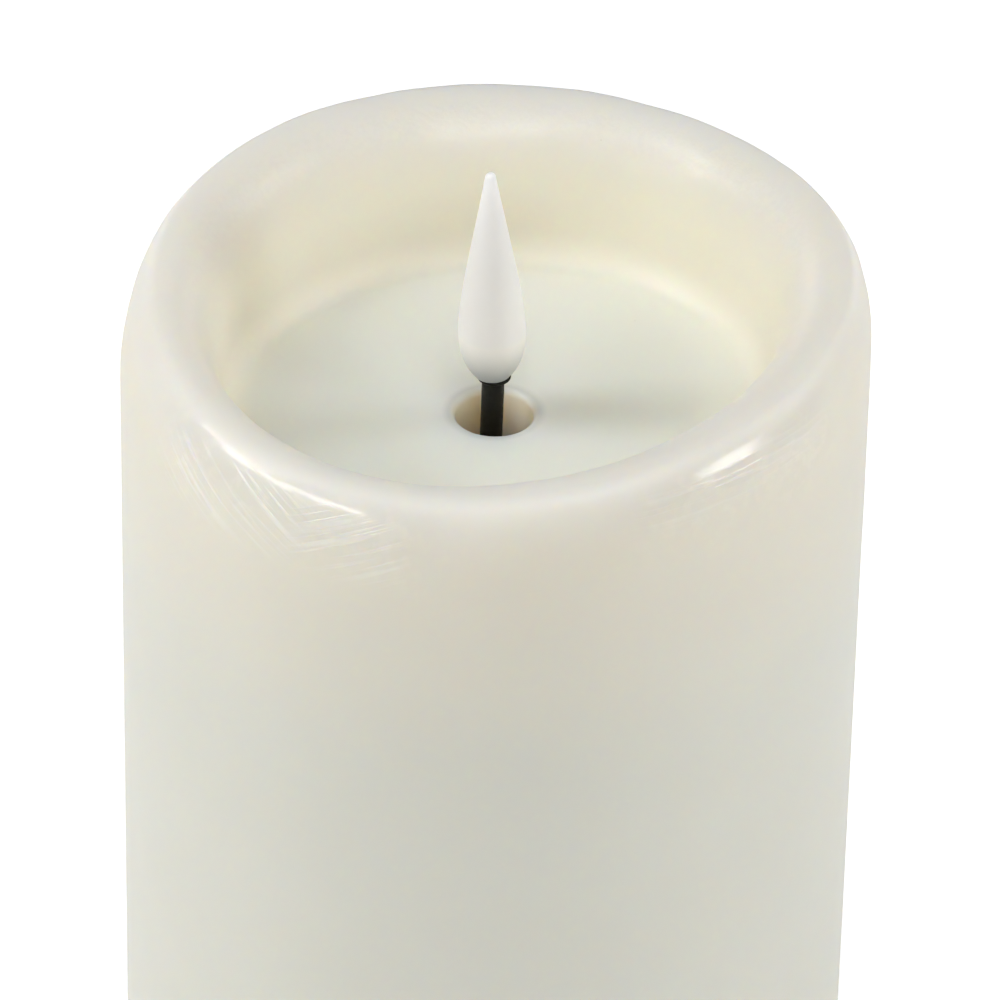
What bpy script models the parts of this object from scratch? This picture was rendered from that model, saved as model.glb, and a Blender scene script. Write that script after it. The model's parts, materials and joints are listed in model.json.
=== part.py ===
"""Flameless LED pillar candle, modelled piece by piece.

The frame has +Z up, with its origin at the centre of the base on the surface that
the candle stands on.  Lengths are in millimetres, and the mesh helpers scale them
to Blender's metres.  A hollow wax pillar stands over a plastic core: base plate,
battery box, board hood and riser tube, with the wick and the flame on top.
"""
from math import cos, pi, radians, sin, tan

import bmesh
import bpy
from mathutils import Vector

MM = 0.001
GAP = 0.35                      # clearance between pieces that touch

# Wax pillar
CANDLE_R = 50.5
WAX_BOTTOM_Z = 0.8
WAX_CORNER = 1.5
CAVITY_R = 44.0
CAVITY_SHOULDER_Z = 112.0
CAVITY_SLOPE = 9.5              # how far the roof's slope runs inwards
WAX_UNDERSIDE_Z = 123.3
RECESS_Z = 132.0                # floor of the burnt-down recess
RECESS_FILLET = 3.0
HOLE_R = 5.3
HOLE_LIP = 1.0

# The rim is shaped by heat, so its lines wave round the candle.  Each is a mean, then the
# size and direction (degrees from +X) of a once-round and of a twice-round wave.
RIM_R = (46.7, (2.4, 70), (0.28, 90))
RIM_Z = (152.0, (2.45, 47), (1.35, -27))
RIM_WIDTH = (9.75, (1.2, 60), (1.35, -59))      # from the highest line to the recess wall
RIM_DROP = (12.4, (2.4, -130), (0.9, -71))      # height of the outer rounding
RIM_INNER_DROP = 15.2                           # height of the inner rounding
RIM_POWERS = (1.94, 2.2)                        # superellipse powers, outer and inner
WAX_SIDES = 56

# Holes for the self-tapping screws, and for the longer ones that hold the base
PILOT_R, CLEARANCE_R = 1.35, 1.4
BASE_HOLE_R = 1.55

# Base plate, ring and feet
PLATE_R = 43.5
PLATE_BOTTOM, PLATE_TOP = 1.2, 4.0
OVER_PLATE = 9.0                # clear above the plate and everything raised on it
RAISED_FROM = PLATE_TOP - 0.5   # bosses start inside the plate
RING_R, RING_WALL = 43.6, 2.0
RING_BOTTOM, RING_TOP = PLATE_TOP + GAP, 16.3
BASE_SCREW_CIRCLE = 38.4
BASE_SCREW_ANGLES = (90, 210, 330)
FOOT_R, FOOT_H = 4.5, 0.85
FOOT_CIRCLE = 38.5
FOOT_ANGLES = (55, 125, 235, 305)

# Battery bay: two C cells standing side by side
CELL_R, CELL_L = 13.1, 50.0
BUTTON_R, BUTTON_H = 3.75, 1.5
BAY_Y = 5.4
CELL_X = 13.45
BAY_HALF_X, BAY_HALF_Y = 27.2, 13.9
BAY_WALL = 1.6
BAY_ROOF = 62.5
EAR_X = 34.4
TAIL_Y = 16.8                   # where both contact tails leave the roof
CORNER_BOSS = (25.0, 11.7)      # from the bay's centre

# Battery door and its hinge
DOOR_BOTTOM, DOOR_TOP = 1.4, 3.2
DOOR_HALF_X = 30.1
DOOR_FRONT_Y, DOOR_BACK_Y = -10.6, 19.7
HINGE_Y, HINGE_Z = 23.2, 3.4
BARREL_R, STUB_R = 2.0, 1.1
BARREL_HALF_X = 26.8
STUB_END_X = BARREL_HALF_X + 3.1
LATCH_HALF_X = 5.0

# Slide switch
SWITCH_Y = -26.0
POCKET_TOP = 4.2
TUB_TOP = 5.8
TUB_HALF_X, TUB_HALF_Y = 15.3, 7.3
POCKET_HALF_X, POCKET_HALF_Y = 10.0, 5.5
SWITCH_SCREW_X = 12.0

# Electronics
BOARD_BOTTOM, BOARD_TOP = 66.7, 68.3
BOARD_Y = 4.0
BOARD_HALF_X, BOARD_HALF_Y = 18.0, 10.4
BOARD_SCREW_X = 14.5
SOLDER_Z = BOARD_TOP + GAP      # where parts and leads meet the board

# Hood and riser
HOOD_HALF_X, HOOD_HALF_Y = 21.5, 15.1
HOOD_WALL = 1.6
HOOD_FLANGE_X = 28.4
HOOD_BOTTOM, HOOD_TOP = BAY_ROOF + GAP, 82.0
RISER_R, RISER_WALL = 8.5, 1.6
RISER_TOP = WAX_UNDERSIDE_Z - 0.4
COLLAR_TOP = 88.0

# Wick and flame
WICK_R, WICK_BORE = 1.55, 1.0
WICK_X = -0.33                  # where the wick crosses the recess floor
WICK_LEAN = radians(0.96)       # towards +X
WICK_BOTTOM, WICK_TOP = 112.0, 137.1
CUP_R, CUP_BORE = 2.3, 1.35
CUP_X = -0.15
FLAME_X = -0.37
FLAME_LEAN = radians(-1.4)      # towards -X
FLAME_BOTTOM = 138.3
FLAME_TIP = 170.35
FLAME_R = 4.58
FLAME_WIDEST_Z = 144.9
FLAME_WALL = 0.8

# Base colour (linear), roughness, metallic
FINISHES = {
    "wax": ((0.72, 0.70, 0.60), 0.42, 0.0),
    "frosted": ((0.80, 0.79, 0.75), 0.38, 0.0),
    "black": ((0.012, 0.012, 0.010), 0.55, 0.0),
    "cream_plastic": ((0.66, 0.62, 0.50), 0.48, 0.0),
    "white_plastic": ((0.70, 0.70, 0.68), 0.42, 0.0),
    "dark_plastic": ((0.03, 0.03, 0.032), 0.45, 0.0),
    "steel": ((0.56, 0.56, 0.55), 0.30, 1.0),
    "brass": ((0.62, 0.46, 0.22), 0.32, 1.0),
    "foam": ((0.62, 0.61, 0.57), 0.85, 0.0),
    "sleeve": ((0.10, 0.16, 0.30), 0.35, 0.0),
    "board": ((0.02, 0.14, 0.05), 0.38, 0.0),
    "red_wire": ((0.45, 0.02, 0.02), 0.40, 0.0),
    "yellow_wire": ((0.60, 0.42, 0.04), 0.40, 0.0),
    "lens": ((0.80, 0.74, 0.55), 0.12, 0.0),
}


# ---------------------------------------------------------------- helpers

def clear_scene():
    for item in list(bpy.data.objects):
        bpy.data.objects.remove(item)


def new_collection(name):
    group = bpy.data.collections.new(name)
    bpy.context.scene.collection.children.link(group)
    return group


def surface(name, finish):
    """A Principled material of the piece's own."""
    colour, roughness, metallic = FINISHES[finish]
    material = bpy.data.materials.new(name)
    material.use_nodes = True
    shader = material.node_tree.nodes["Principled BSDF"]
    shader.inputs["Base Color"].default_value = (*colour, 1.0)
    shader.inputs["Roughness"].default_value = roughness
    shader.inputs["Metallic"].default_value = metallic
    material.diffuse_color = (*colour, 1.0)
    return material


def place(name, data, finish, at=(0, 0, 0), parent=None):
    """Adds an object: a piece when it has a finish, or else a cutter."""
    piece = bpy.data.objects.new(name, data)
    piece.location = Vector(at) * MM
    if parent:
        piece.parent = parent
        piece.location -= parent.location
    if finish:
        PIECES.objects.link(piece)
        data.materials.clear()
        data.materials.append(surface(name, finish))
    else:
        CUTTERS.objects.link(piece)
        piece.hide_render = True
        piece.display_type = "WIRE"
    return piece


def box(name, low, high, finish=None, parent=None):
    low, high = Vector(low), Vector(high)
    form = bmesh.new()
    bmesh.ops.create_cube(form, size=1.0)
    bmesh.ops.scale(form, vec=(high - low) * MM, verts=form.verts)
    mesh = bpy.data.meshes.new(name)
    form.to_mesh(mesh)
    form.free()
    return place(name, mesh, finish, (low + high) / 2, parent)


def rod(name, radius, start, end, finish=None, sides=18):
    """A cylinder between two points."""
    start, end = Vector(start), Vector(end)
    form = bmesh.new()
    bmesh.ops.create_cone(form, cap_ends=True, segments=sides, radius1=radius * MM,
                          radius2=radius * MM, depth=(end - start).length * MM)
    mesh = bpy.data.meshes.new(name)
    form.to_mesh(mesh)
    form.free()
    mesh.shade_smooth()
    mesh.set_sharp_from_angle(angle=radians(40))
    piece = place(name, mesh, finish, (start + end) / 2)
    piece.rotation_mode = "QUATERNION"
    piece.rotation_quaternion = (end - start).to_track_quat("Z", "Y")
    return piece


def turned(name, profile, finish=None, at=(0, 0, 0), sides=32, loop=False):
    """A profile of (radius, height) points, outer side first and top to bottom."""
    points = [(r * MM, 0, z * MM) for r, z in profile]
    edges = [(i, i + 1) for i in range(len(points) - 1)]
    if loop:
        edges.append((len(points) - 1, 0))
    mesh = bpy.data.meshes.new(name)
    mesh.from_pydata(points, edges, [])
    piece = place(name, mesh, finish, at)
    turn = piece.modifiers.new("turn", "SCREW")
    turn.axis = "Z"
    turn.angle = 2 * pi
    turn.steps = turn.render_steps = sides
    turn.use_merge_vertices = True
    turn.merge_threshold = 0.00001
    turn.use_smooth_shade = True
    return piece


def wire(name, points, radius, finish, parent=None):
    """A round wire along straight steps between the points."""
    curve = bpy.data.curves.new(name, "CURVE")
    curve.dimensions = "3D"
    curve.bevel_depth = radius * MM
    curve.bevel_resolution = 2
    curve.use_fill_caps = True
    spline = curve.splines.new("POLY")
    spline.points.add(len(points) - 1)
    for knot, point in zip(spline.points, points):
        knot.co = (*(Vector(point) * MM), 1.0)
    piece = place(name, curve, finish)
    if parent:
        piece.parent = parent
        piece.location = -parent.location
    return piece


def smooth_route(knots, step):
    """Catmull-Rom points through the knots, about one step apart."""
    knots = [Vector(knot) for knot in knots]
    padded = [2 * knots[0] - knots[1], *knots, 2 * knots[-1] - knots[-2]]
    route = []
    for a, b, c, d in zip(padded, padded[1:], padded[2:], padded[3:]):
        count = max(2, round((c - b).length / step))
        for i in range(count):
            t = i / count
            route.append(0.5 * (2 * b + (c - a) * t + (2 * a - 5 * b + 4 * c - d) * t * t
                                + (3 * b - a - 3 * c + d) * t ** 3))
    return [*route, knots[-1]]


def coil(centre, radii, heights, turns, start_angle, steps_per_turn=11):
    """Points of a conical coil, from the first radius and height to the last."""
    count = round(turns * steps_per_turn)
    points = []
    for i in range(count + 1):
        t = i / count
        radius = radii[0] + (radii[1] - radii[0]) * t
        angle = start_angle + 2 * pi * turns * t
        height = heights[0] + (heights[1] - heights[0]) * t
        points.append((centre[0] + radius * cos(angle), centre[1] + radius * sin(angle), height))
    return points


def arc(centre, radii, start, end, steps):
    """Profile points on an elliptical arc, with its angles in degrees."""
    angles = [radians(start + (end - start) * i / steps) for i in range(steps + 1)]
    return [(centre[0] + radii[0] * cos(a), centre[1] + radii[1] * sin(a)) for a in angles]


def bezier(ends, handles, steps):
    """Profile points on a cubic curve, without its first point."""
    knots = [Vector(p) for p in (ends[0], handles[0], handles[1], ends[1])]
    points = []
    for i in range(1, steps + 1):
        t = i / steps
        weights = ((1 - t) ** 3, 3 * t * (1 - t) ** 2, 3 * t * t * (1 - t), t ** 3)
        points.append(tuple(sum((w * k for w, k in zip(weights, knots)), Vector((0, 0)))))
    return points


def combine(piece, operation, *tools):
    for tool in tools:
        step = piece.modifiers.new(tool.name, "BOOLEAN")
        step.operation = operation
        step.solver = "EXACT"
        step.object = tool


def join(piece, *tools):
    combine(piece, "UNION", *tools)


def cut(piece, *tools):
    combine(piece, "DIFFERENCE", *tools)


def on_circle(radius, degrees):
    return radius * cos(radians(degrees)), radius * sin(radians(degrees))


def screw_mesh(name, head_r, head_h, shaft_r, length):
    """A cross-head screw that points down, with its head's underside at height 0."""
    profile = [(0, head_h), (head_r * 0.7, head_h), (head_r, head_h * 0.5), (head_r, 0),
               (shaft_r, 0), (shaft_r, -length + shaft_r), (0, -length)]
    blank = turned(name, profile, sides=12)
    blade, depth = head_r * 0.13, head_h * 0.55
    slots = [box(f"{name}_slot_x", (-head_r * 0.6, -blade, depth), (head_r * 0.6, blade, head_h + 1)),
             box(f"{name}_slot_y", (-blade, -head_r * 0.6, depth), (blade, head_r * 0.6, head_h + 1))]
    cut(blank, *slots)
    bpy.context.view_layer.update()
    evaluated = blank.evaluated_get(bpy.context.evaluated_depsgraph_get())
    mesh = bpy.data.meshes.new_from_object(evaluated)
    for item in (blank, *slots):
        bpy.data.objects.remove(item)
    mesh.set_sharp_from_angle(angle=radians(40))
    return mesh


def screws(name, spots, head_z, size, pointing_up=False):
    """Numbered screws of one size, with their heads' undersides at head_z."""
    blank = screw_mesh(name, *size)
    for number, (x, y) in enumerate(spots, 1):
        piece = place(f"{name}_{number}", blank.copy(), "steel", (x, y, head_z))
        if pointing_up:
            piece.rotation_euler.x = pi


def empty(name, at):
    holder = bpy.data.objects.new(name, None)
    holder.location = Vector(at) * MM
    holder.empty_display_size = 10 * MM
    PIECES.objects.link(holder)
    return holder


# ---------------------------------------------------------------- the wax

def wave(line, angle):
    """The value at an angle of a line that waves round the candle."""
    mean, (once, once_at), (twice, twice_at) = line
    return mean + once * cos(angle - radians(once_at)) + twice * cos(2 * (angle - radians(twice_at)))


def rounding(power, steps):
    """Shares (across, up) along a quarter of a superellipse, from its top to its side."""
    turns = [pi / 2 * i / steps for i in range(steps + 1)]
    return [(sin(turn) ** (2 / power), max(0, cos(turn)) ** (2 / power)) for turn in turns]


def wax_section(angle):
    """The wax cut at an angle, as a closed loop of (radius, height) points."""
    top_r, top_z = wave(RIM_R, angle), wave(RIM_Z, angle)
    width, drop = wave(RIM_WIDTH, angle), wave(RIM_DROP, angle)
    wall_r, wall_z = top_r - width, top_z - RIM_INNER_DROP
    fillet_z = max(wall_z, RECESS_Z + RECESS_FILLET)
    corner_r, lip_z = wall_r - RECESS_FILLET, RECESS_Z - HOLE_LIP
    outer_power, inner_power = RIM_POWERS
    outside = [(top_r + (CANDLE_R - top_r) * across, top_z - drop * (1 - up))
               for across, up in rounding(outer_power, 6)]
    inside = [(top_r - width * across, fillet_z + (top_z - fillet_z) * up)
              for across, up in rounding(inner_power, 9)[1:]]
    return [
        *outside,
        *arc((CANDLE_R - WAX_CORNER, WAX_BOTTOM_Z + WAX_CORNER), (WAX_CORNER, WAX_CORNER), 0, -90, 2),
        (CAVITY_R, WAX_BOTTOM_Z),
        (CAVITY_R, CAVITY_SHOULDER_Z),
        (CAVITY_R - CAVITY_SLOPE, WAX_UNDERSIDE_Z),
        (HOLE_R, WAX_UNDERSIDE_Z),
        *arc((HOLE_R + HOLE_LIP, lip_z), (HOLE_LIP, HOLE_LIP), 180, 90, 3),
        *arc((corner_r, fillet_z), (RECESS_FILLET, fillet_z - RECESS_Z), -90, 0, 3)[:-1],
        *inside[::-1],
    ]


def wax_shell():
    form = bmesh.new()
    rings = []
    for i in range(WAX_SIDES):
        angle = 2 * pi * i / WAX_SIDES
        section = wax_section(angle)
        rings.append([form.verts.new((r * cos(angle) * MM, r * sin(angle) * MM, z * MM)) for r, z in section])
    for here, there in zip(rings, [*rings[1:], rings[0]]):
        for i in range(len(here)):
            form.faces.new((here[i], here[i - 1], there[i - 1], there[i]))
    bmesh.ops.triangulate(form, faces=form.faces)
    bmesh.ops.recalc_face_normals(form, faces=form.faces)
    mesh = bpy.data.meshes.new("wax_shell")
    form.to_mesh(mesh)
    form.free()
    mesh.shade_smooth()
    mesh.set_sharp_from_angle(angle=radians(40))
    place("wax_shell", mesh, "wax")


# --------------------------------------------------------------- the base

def base_ring():
    inner = RING_R - RING_WALL
    chamfer = 0.6
    profile = [(RING_R - chamfer, RING_TOP), (RING_R, RING_TOP - chamfer), (RING_R, RING_BOTTOM),
               (inner, RING_BOTTOM), (inner, RING_TOP)]
    ring = turned("base_ring", profile, "cream_plastic", sides=48, loop=True)
    for number, angle in enumerate(BASE_SCREW_ANGLES, 1):
        x, y = on_circle(BASE_SCREW_CIRCLE, angle)
        boss = rod(f"ring_boss_{number}", 3.6, (x, y, RING_BOTTOM), (x, y, RING_TOP - 1))
        web = rod(f"ring_web_{number}", 2.6, (*on_circle(BASE_SCREW_CIRCLE + 1.5, angle), RING_BOTTOM + 1),
                  (*on_circle(BASE_SCREW_CIRCLE + 1.5, angle), RING_TOP - 2))
        pilot = rod(f"ring_pilot_{number}", BASE_HOLE_R, (x, y, 0), (x, y, 13.5))
        join(ring, boss, web)
        cut(ring, pilot)


def base_plate():
    chamfer = 0.5
    profile = [(0, PLATE_TOP), (PLATE_R, PLATE_TOP), (PLATE_R, PLATE_BOTTOM + chamfer),
               (PLATE_R - chamfer, PLATE_BOTTOM), (0, PLATE_BOTTOM)]
    plate = turned("base_plate", profile, "cream_plastic", sides=48)
    join(plate, box("switch_tub", (-TUB_HALF_X, SWITCH_Y - TUB_HALF_Y, RAISED_FROM),
                    (TUB_HALF_X, SWITCH_Y + TUB_HALF_Y, TUB_TOP)))
    for side in (-1, 1):
        spot = (side * EAR_X, BAY_Y)
        join(plate, rod(f"bay_boss_{side}", 3.2, (*spot, RAISED_FROM), (*spot, 8.0)))
        cut(plate, rod(f"bay_pilot_{side}", PILOT_R, (*spot, 3.0), (*spot, OVER_PLATE)))
    cut(plate,
        box("door_opening", (-DOOR_HALF_X - 0.4, DOOR_FRONT_Y - 0.4, 0),
            (DOOR_HALF_X + 0.4, HINGE_Y + 2.6, OVER_PLATE)),
        box("latch_notch", (-LATCH_HALF_X - 1.0, DOOR_FRONT_Y - 3.7, 0),
            (LATCH_HALF_X + 1.0, DOOR_FRONT_Y + 0.6, OVER_PLATE)))
    ear_inner, ear_outer = BARREL_HALF_X + 0.4, BARREL_HALF_X + 4.2
    for side in (-1, 1):
        low_x, high_x = sorted((side * ear_inner, side * ear_outer))
        join(plate, box(f"hinge_ear_{side}", (low_x, HINGE_Y - 2.2, PLATE_BOTTOM),
                        (high_x, HINGE_Y + 3.8, HINGE_Z + 2.2)))
        cut(plate, rod(f"hinge_bore_{side}", STUB_R + GAP, (side * (ear_inner - 1), HINGE_Y, HINGE_Z),
                       (side * (STUB_END_X + GAP), HINGE_Y, HINGE_Z)))
    cut(plate,
        box("switch_pocket", (-POCKET_HALF_X, SWITCH_Y - POCKET_HALF_Y, 0),
            (POCKET_HALF_X, SWITCH_Y + POCKET_HALF_Y, POCKET_TOP)),
        box("switch_slot", (-5.2, SWITCH_Y - 2.2, 0), (5.2, SWITCH_Y + 2.2, OVER_PLATE)))
    for side in (-1, 1):
        spot = (side * SWITCH_SCREW_X, SWITCH_Y)
        cut(plate, rod(f"switch_pilot_{side}", PILOT_R, (*spot, 2.7), (*spot, OVER_PLATE)))
    for number, angle in enumerate(BASE_SCREW_ANGLES, 1):
        x, y = on_circle(BASE_SCREW_CIRCLE, angle)
        cut(plate,
            rod(f"plate_hole_{number}", BASE_HOLE_R, (x, y, 0), (x, y, OVER_PLATE)),
            rod(f"counterbore_{number}", 3.3, (x, y, 0), (x, y, 2.7)))


def feet():
    for number, angle in enumerate(FOOT_ANGLES, 1):
        x, y = on_circle(FOOT_CIRCLE, angle)
        rod(f"foot_pad_{number}", FOOT_R, (x, y, 0), (x, y, FOOT_H), "foam", sides=28)


def base_screws():
    spots = [on_circle(BASE_SCREW_CIRCLE, angle) for angle in BASE_SCREW_ANGLES]
    screws("base_screw", spots, 2.35, (2.9, 0.85, 1.2, 10.0), pointing_up=True)


# ---------------------------------------------------------- battery parts

def battery_box():
    outer_x, outer_y = BAY_HALF_X + BAY_WALL, BAY_HALF_Y + BAY_WALL
    floor_z, roof_z = PLATE_TOP + GAP, BAY_ROOF - BAY_WALL
    case = box("battery_box", (-outer_x, BAY_Y - outer_y, floor_z), (outer_x, BAY_Y + outer_y, BAY_ROOF),
               "white_plastic")
    cut(case, box("bay_space", (-BAY_HALF_X, BAY_Y - BAY_HALF_Y, 0),
                  (BAY_HALF_X, BAY_Y + BAY_HALF_Y, roof_z)))
    for side in (-1, 1):
        near, far = sorted((side * (outer_x - 1), side * EAR_X))
        ear_low, ear_high = 8.35, 10.35
        boss = (side * CORNER_BOSS[0], BAY_Y + side * CORNER_BOSS[1])
        post = (side * BOARD_SCREW_X, BOARD_Y)
        join(case,
             box(f"ear_arm_{side}", (near, BAY_Y - 3.0, ear_low + 0.2), (far, BAY_Y + 3.0, ear_high - 0.2)),
             rod(f"ear_end_{side}", 3.6, (side * EAR_X, BAY_Y, ear_low), (side * EAR_X, BAY_Y, ear_high)),
             rod(f"corner_boss_{side}", 2.7, (*boss, 50), (*boss, roof_z + 0.8)),
             rod(f"board_post_{side}", 2.4, (*post, roof_z + 0.8), (*post, BOARD_BOTTOM - 0.3)))
        cut(case,
            rod(f"ear_hole_{side}", CLEARANCE_R, (side * EAR_X, BAY_Y, 5), (side * EAR_X, BAY_Y, 15)),
            rod(f"hood_pilot_{side}", PILOT_R, (*boss, 52), (*boss, 70)),
            rod(f"board_pilot_{side}", PILOT_R, (*post, 62.0), (*post, 70)))
    cut(case,
        box("plus_slot", (-CELL_X - 2.2, TAIL_Y - 0.9, 55), (-CELL_X + 2.2, TAIL_Y + 0.9, 70)),
        rod("minus_hole", 0.85, (CELL_X, TAIL_Y, 55), (CELL_X, TAIL_Y, 70), sides=20))


def battery_cells():
    """Cell 1 stands with its button up, cell 2 with its button down."""
    top, shoulder = CELL_L, CELL_L - BUTTON_H
    profile = [(0, top), (BUTTON_R - 0.4, top), (BUTTON_R, top - 0.4), (BUTTON_R, shoulder),
               (CELL_R - 0.9, shoulder), (CELL_R, shoulder - 0.7), (CELL_R, 0.5), (CELL_R - 0.6, 0), (0, 0)]
    turned("battery_cell_1", profile, "sleeve", (-CELL_X, BAY_Y, 9.9))
    cell = turned("battery_cell_2", profile, "sleeve", (CELL_X, BAY_Y, 4.2 + CELL_L))
    cell.rotation_euler.x = pi


def contacts(door_hinge):
    plate = box("positive_contact", (-CELL_X - 5, 0.6, 60.2), (-CELL_X + 5, TAIL_Y + 0.2, 60.6), "brass")
    join(plate, box("plus_tail", (-CELL_X - 1.5, TAIL_Y - 0.2, 60.3), (-CELL_X + 1.5, TAIL_Y + 0.2, 67.5)))

    radius, coil_radii = 0.45, (2.8, 6.0)
    points = coil((CELL_X, BAY_Y), coil_radii, (54.95, 59.9), 3.25, 0)
    points += [(CELL_X, TAIL_Y - 1.0, 59.95), (CELL_X, TAIL_Y - 0.3, 60.1), (CELL_X, TAIL_Y, 60.7),
               (CELL_X, TAIL_Y, 67.5)]
    wire("negative_spring", points, radius, "steel")

    box("bridge_strip", (-CELL_X - 6.2, BAY_Y - 3.2, DOOR_TOP + 0.3), (CELL_X + 5, BAY_Y + 3.2, 3.9),
        "brass", door_hinge)
    wire("bridge_spring", coil((-CELL_X, BAY_Y), coil_radii[::-1], (4.65, 9.15), 3.5, 0), radius, "steel",
         door_hinge)


def battery_door(door_hinge):
    """The door, with its hinge stubs and a bent latch spring, all in one moulding."""
    door = box("battery_door", (-DOOR_HALF_X, DOOR_FRONT_Y, DOOR_BOTTOM),
               (DOOR_HALF_X, DOOR_BACK_Y, DOOR_TOP), "cream_plastic", door_hinge)
    wall, spring_top = 0.8, 8.0
    root_y, lever_y = DOOR_FRONT_Y - 1.4, DOOR_FRONT_Y - 3.0
    half = LATCH_HALF_X
    join(door,
         box("door_heel", (-BARREL_HALF_X, DOOR_BACK_Y - 1, DOOR_BOTTOM),
             (BARREL_HALF_X, HINGE_Y, DOOR_TOP)),
         rod("barrel", BARREL_R, (-BARREL_HALF_X, HINGE_Y, HINGE_Z), (BARREL_HALF_X, HINGE_Y, HINGE_Z),
             sides=24),
         box("latch_root", (-half, root_y, DOOR_BOTTOM), (half, DOOR_FRONT_Y + 1, DOOR_TOP)),
         box("latch_wall", (-half, root_y, DOOR_BOTTOM + 1), (half, root_y + wall, spring_top)),
         box("latch_bend", (-half, lever_y, spring_top - wall), (half, root_y + wall, spring_top)),
         box("latch_lever", (-half, lever_y, DOOR_BOTTOM), (half, lever_y + wall, spring_top)))
    join(door, rod("stubs", STUB_R, (-STUB_END_X, HINGE_Y, HINGE_Z), (STUB_END_X, HINGE_Y, HINGE_Z)))
    groove_half_x, groove_pitch, groove_width, groove_depth = 8.0, 1.6, 0.8, 0.5
    for number in range(4):
        y = DOOR_FRONT_Y + 2.5 + groove_pitch * number
        cut(door, box(f"thumb_groove_{number + 1}", (-groove_half_x, y, 0),
                      (groove_half_x, y + groove_width, DOOR_BOTTOM + groove_depth)))


def bay_screws():
    screws("bay_screw", [(-EAR_X, BAY_Y), (EAR_X, BAY_Y)], 10.7, (2.4, 1.4, 1.0, 7.0))


# ----------------------------------------------------------------- switch

def slide_switch():
    flange_z, can_top, half_y = TUB_TOP + GAP, 11.0, 3.2
    body = box("switch_body", (-14.8, SWITCH_Y - half_y, flange_z), (14.8, SWITCH_Y + half_y, flange_z + 1),
               "steel")
    join(body, box("switch_can", (-8.5, SWITCH_Y - half_y, flange_z + 0.4),
                   (8.5, SWITCH_Y + half_y, can_top)))
    cut(body, box("switch_track", (-4.7, SWITCH_Y - 2.15, 0), (4.7, SWITCH_Y + 2.15, 9.0)))
    for side in (-1, 1):
        spot = (side * SWITCH_SCREW_X, SWITCH_Y)
        cut(body, rod(f"switch_hole_{side}", PILOT_R, (*spot, 5), (*spot, 9)))

    knob = box("switch_knob", (-2.6, SWITCH_Y - 1.85, 1.7), (2.6, SWITCH_Y + 1.85, 5.2), "dark_plastic")
    join(knob, box("knob_stem", (-2.2, SWITCH_Y - 1.7, 4.6), (2.2, SWITCH_Y + 1.7, 8.6)))
    for number, x in enumerate((-1.5, 0, 1.5), 1):
        cut(knob, box(f"knob_groove_{number}", (x - 0.35, SWITCH_Y - 3, 1), (x + 0.35, SWITCH_Y + 3, 2.2)))

    for number, x in enumerate((-5, 0, 5), 1):
        box(f"switch_terminal_{number}", (x - 0.7, SWITCH_Y - 0.3, can_top + GAP),
            (x + 0.7, SWITCH_Y + 0.3, 14.5), "brass")
    screws("switch_screw", [(-SWITCH_SCREW_X, SWITCH_Y), (SWITCH_SCREW_X, SWITCH_Y)], 7.5,
           (2.0, 1.2, 1.0, 4.2))


# ------------------------------------------------------------ electronics

def circuit_board():
    board = box("circuit_board", (-BOARD_HALF_X, BOARD_Y - BOARD_HALF_Y, BOARD_BOTTOM),
                (BOARD_HALF_X, BOARD_Y + BOARD_HALF_Y, BOARD_TOP), "board")
    spots = [(side * BOARD_SCREW_X, BOARD_Y) for side in (-1, 1)]
    for number, spot in enumerate(spots, 1):
        cut(board, rod(f"board_hole_{number}", CLEARANCE_R, (*spot, 60), (*spot, 75)))
    screws("board_screw", spots, SOLDER_Z, (2.1, 1.3, 1.0, 5.0))

    box("controller_chip", (-10.5, 3.0, SOLDER_Z), (-5.5, 7.0, SOLDER_Z + 1.6), "dark_plastic")
    box("chip_resistor", (2.6, 11.4, SOLDER_Z), (5.8, 13.0, SOLDER_Z + 0.6), "dark_plastic")
    rod("timer_crystal", 1.05, (-12.0, -2.5, SOLDER_Z + 1.05), (-6.0, -2.5, SOLDER_Z + 1.05), "steel",
        sides=20)
    radius, height = 3.15, 7.0
    profile = [(0, height), (radius - 0.4, height), (radius, height - 0.4), (radius, 1.7),
               (radius - 0.25, 1.4), (radius - 0.25, 1.1), (radius, 0.8), (radius, 0.2),
               (radius - 0.2, 0), (0, 0)]
    turned("capacitor", profile, "dark_plastic", (8.5, 8.0, SOLDER_Z), sides=20)


def leads():
    for name, side, finish in (("battery_lead_red", -1, "red_wire"), ("battery_lead_black", 1, "black")):
        x = side * CELL_X
        knots = [(x, TAIL_Y, 67.85), (x, TAIL_Y, 69.6), (x, TAIL_Y - 1.6, 71.5), (x, 13.0, 71.6),
                 (x, 11.6, 70.4), (x, 11.5, SOLDER_Z)]
        wire(name, smooth_route(knots, 1.2), 0.7, finish)
    for number, (x, finish) in enumerate(((-5, "yellow_wire"), (0, "black"), (5, "red_wire")), 1):
        knots = [(x, SWITCH_Y, 14.85), (x, SWITCH_Y, 18.0), (0.8 * x, -22.5, 30.0), (0.5 * x, -14.5, 46.0),
                 (0.5 * x, -12.8, 60.0), (0.5 * x, -11.6, 67.5), (0.5 * x, -9.0, 70.2),
                 (0.5 * x, -5.6, 70.9), (0.5 * x, -3.9, 70.2), (0.5 * x, -3.8, SOLDER_Z)]
        wire(f"switch_lead_{number}", smooth_route(knots, 4.5), 0.6, finish)
    for name, side, finish in (("led_lead_red", -1, "red_wire"), ("led_lead_black", 1, "black")):
        y, spread = 0.42 * side, 2.2 * side
        knots = [(0, spread, SOLDER_Z), (0, spread, 72.0), (-0.4, spread, 88.0), (wick_x(106), y, 106.0)]
        straight = [(wick_x(z), y, z) for z in (110.0, 116.0, 122.0, 128.0, 133.0, FLAME_BOTTOM - 0.3)]
        wire(name, [*smooth_route(knots, 5.0), *straight], 0.25, finish)


# --------------------------------------------------------- hood and riser

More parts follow.
